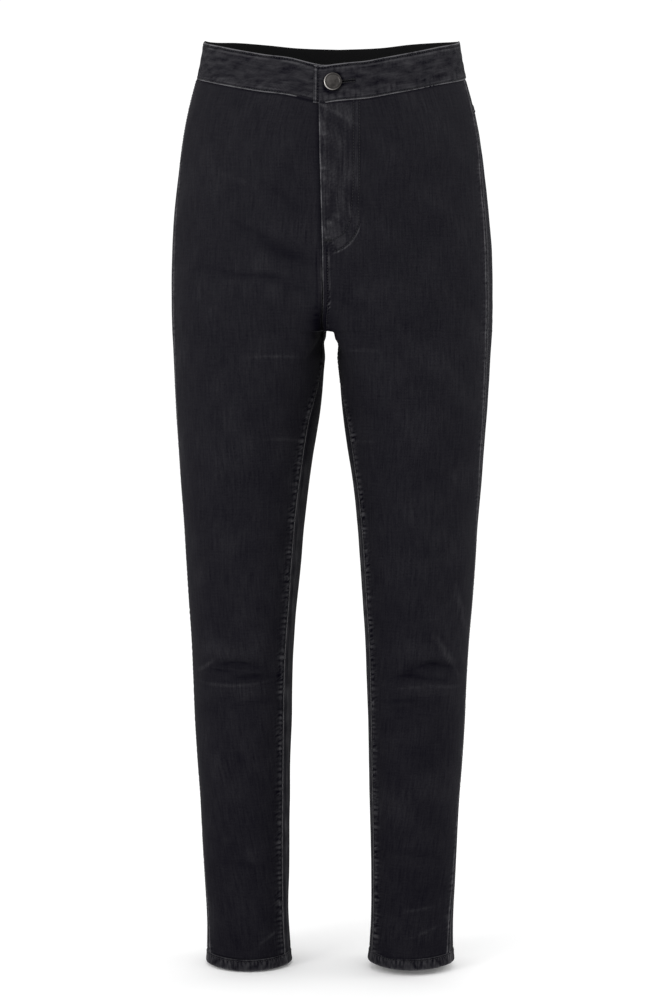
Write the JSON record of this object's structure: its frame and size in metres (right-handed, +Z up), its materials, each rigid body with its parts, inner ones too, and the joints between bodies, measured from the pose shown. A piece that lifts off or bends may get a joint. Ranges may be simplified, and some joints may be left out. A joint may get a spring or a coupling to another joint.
{
  "type": "skinny jeans",
  "caption": "High-waisted, ankle-length skinny jeans in black stretch denim, hollow and filled out as worn, with a plain front, a buttoned waistband and a zip fly.",
  "frame": {"origin": "middle of the waist, at half the waistband's height at the side seams", "axes": "+Z up along the legs towards the waist, -Y the way the wearer faces, +X to the wearer's left"},
  "size_m": [0.3482, 0.2507, 1.0077],
  "materials": {
    "denim": "washed black stretch denim, matt twill",
    "denim_worn": "the same denim, rubbed paler on folded edges",
    "denim_inside": "matt dark cloth and zip tape",
    "zip_metal": "dull antique brass",
    "gunmetal": "dark gunmetal plating, satin"
  },
  "bodies": {
    "root": {"front_left": "denim", "front_right": "denim", "back_left": "denim", "back_right": "denim", "yoke_left": "denim", "yoke_right": "denim", "waistband": "denim_worn", "hem_left": "denim_worn", "hem_right": "denim_worn", "fly_shield": "denim_inside", "zip_tape": "denim_inside", "zip_slider": "zip_metal", "button": "gunmetal"}
  },
  "joints": []
}
